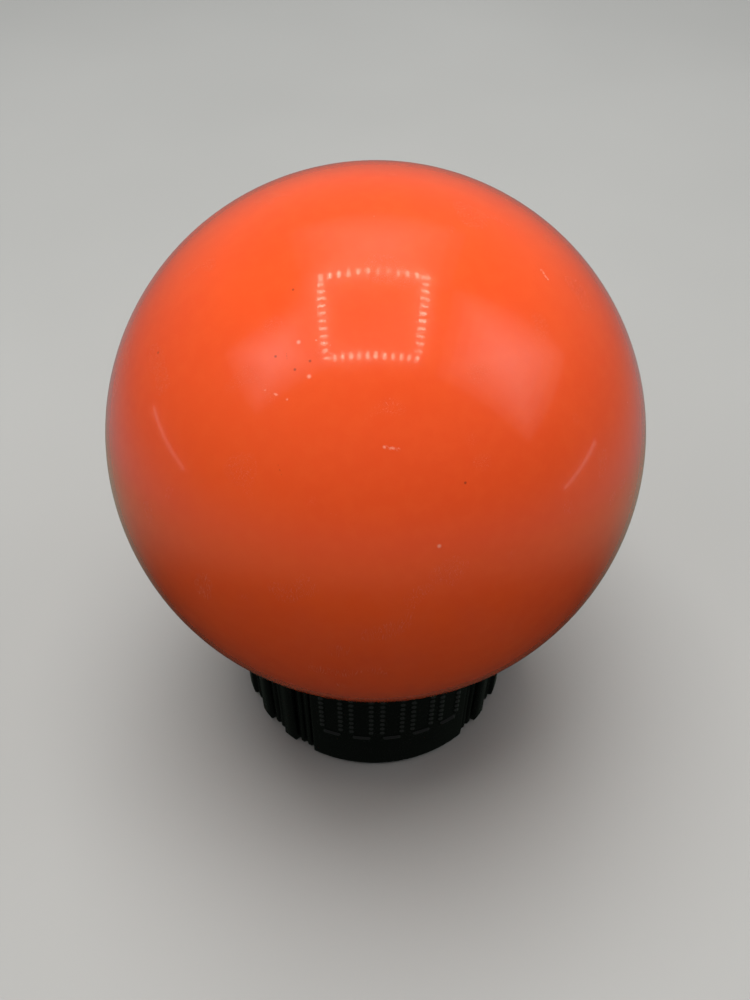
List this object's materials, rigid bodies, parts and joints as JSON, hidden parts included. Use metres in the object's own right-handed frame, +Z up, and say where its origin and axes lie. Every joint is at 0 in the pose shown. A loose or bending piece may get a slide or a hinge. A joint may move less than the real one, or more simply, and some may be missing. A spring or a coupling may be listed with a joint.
{
  "type": "watch case friction ball with bench stand",
  "caption": "Inflatable orange rubber ball that turns screw-down watch case backs by friction, resting in a ribbed black bench stand.",
  "frame": {"origin": "on the bench, on the stand's axis, below the middle of the ball", "axes": "+Z up through the stand and the ball; +Y towards the ball's valve; the relief on the stand's front faces 7.5 degrees to the +X side of -Y"},
  "size_m": [0.065, 0.0648, 0.0812],
  "materials": {
    "ball_rubber": "glossy tacky orange-red rubber",
    "insert_rubber": "satin orange-red rubber",
    "plug_rubber": "matt black soft rubber",
    "stand_plastic": "glossy black moulded plastic"
  },
  "bodies": {
    "stand": {"stand_body": "stand_plastic"},
    "ball": {"ball_skin": "ball_rubber", "valve_insert": "insert_rubber"},
    "plug": {"valve_plug": "plug_rubber"}
  },
  "joints": [
    {"name": "ball_lift", "type": "slide", "parent": "stand", "child": "ball", "axis": [0, 0, 1], "range_m": [0, 0.06]},
    {"name": "plug_pull", "type": "slide", "parent": "ball", "child": "plug", "axis": [0, 1, 0], "range_m": [0, 0.018]}
  ]
}
